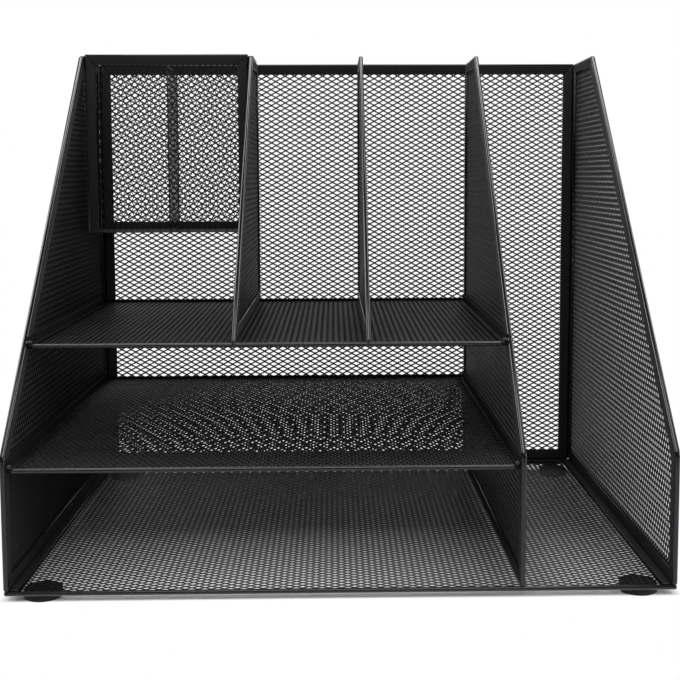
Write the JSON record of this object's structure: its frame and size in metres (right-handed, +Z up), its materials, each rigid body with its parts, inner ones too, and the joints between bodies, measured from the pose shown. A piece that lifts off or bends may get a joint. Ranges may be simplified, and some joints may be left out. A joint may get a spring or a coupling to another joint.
{
  "type": "mesh desk organizer",
  "caption": "Free-standing desk organizer of black steel mesh with paper trays, slanted uprights and dividers, a tall file bay and a lift-out pen pocket, on rubber feet.",
  "frame": {"origin": "on the table under the middle of the organizer, at the bottom centre of its box", "axes": "+X to the right, along the width; +Y from the open front to the back panel; +Z up"},
  "size_m": [0.4, 0.3, 0.346],
  "materials": {
    "mesh_coat": "black powder coat over expanded steel mesh, satin",
    "strip_coat": "black powder coat on folded sheet strip, satin, fine grain",
    "wire_coat": "black powder coat on round wire, satin with a soft highlight",
    "foot_rubber": "matte black rubber"
  },
  "bodies": {
    "frame": {"base_mesh": "mesh_coat", "back_panel_mesh": "mesh_coat", "left_upright_mesh": "mesh_coat", "centre_upright_mesh": "mesh_coat", "right_upright_mesh": "mesh_coat", "divider_1_mesh": "mesh_coat", "divider_2_mesh": "mesh_coat", "lower_tray_mesh": "mesh_coat", "upper_tray_mesh": "mesh_coat", "base_left_strip": "strip_coat", "base_right_strip": "strip_coat", "base_back_strip": "strip_coat", "back_panel_top_strip": "strip_coat", "back_panel_bottom_strip": "strip_coat", "back_panel_left_strip": "strip_coat", "back_panel_right_strip": "strip_coat", "left_upright_front_strip": "strip_coat", "left_upright_top_strip": "strip_coat", "left_upright_back_strip": "strip_coat", "left_upright_bottom_strip": "strip_coat", "centre_upright_front_strip": "strip_coat", "centre_upright_top_strip": "strip_coat", "centre_upright_back_strip": "strip_coat", "centre_upright_bottom_strip": "strip_coat", "right_upright_front_strip": "strip_coat", "right_upright_top_strip": "strip_coat", "right_upright_back_strip": "strip_coat", "right_upright_bottom_strip": "strip_coat", "divider_1_front_strip": "strip_coat", "divider_1_top_strip": "strip_coat", "divider_1_back_strip": "strip_coat", "divider_1_bottom_strip": "strip_coat", "divider_2_front_strip": "strip_coat", "divider_2_top_strip": "strip_coat", "divider_2_back_strip": "strip_coat", "divider_2_bottom_strip": "strip_coat", "lower_tray_left_lip": "strip_coat", "lower_tray_right_lip": "strip_coat", "lower_tray_back_lip": "strip_coat", "upper_tray_left_lip": "strip_coat", "upper_tray_right_lip": "strip_coat", "upper_tray_back_lip": "strip_coat", "base_front_wire": "wire_coat", "lower_tray_front_wire": "wire_coat", "upper_tray_front_wire": "wire_coat", "foot_front_left": "foot_rubber", "foot_front_right": "foot_rubber", "foot_back_left": "foot_rubber", "foot_back_right": "foot_rubber"},
    "pen_pocket": {"pocket_front_mesh": "mesh_coat", "pocket_floor_mesh": "mesh_coat", "pocket_partition_mesh": "mesh_coat", "pocket_top_strip": "strip_coat", "pocket_left_strip": "strip_coat", "pocket_right_strip": "strip_coat", "pocket_back_lip": "strip_coat", "pocket_left_hanger": "strip_coat", "pocket_right_hanger": "strip_coat"}
  },
  "joints": [
    {"name": "pocket_lift", "type": "slide", "parent": "frame", "child": "pen_pocket", "axis": [0, 0, 1], "range_m": [0, 0.16]}
  ]
}
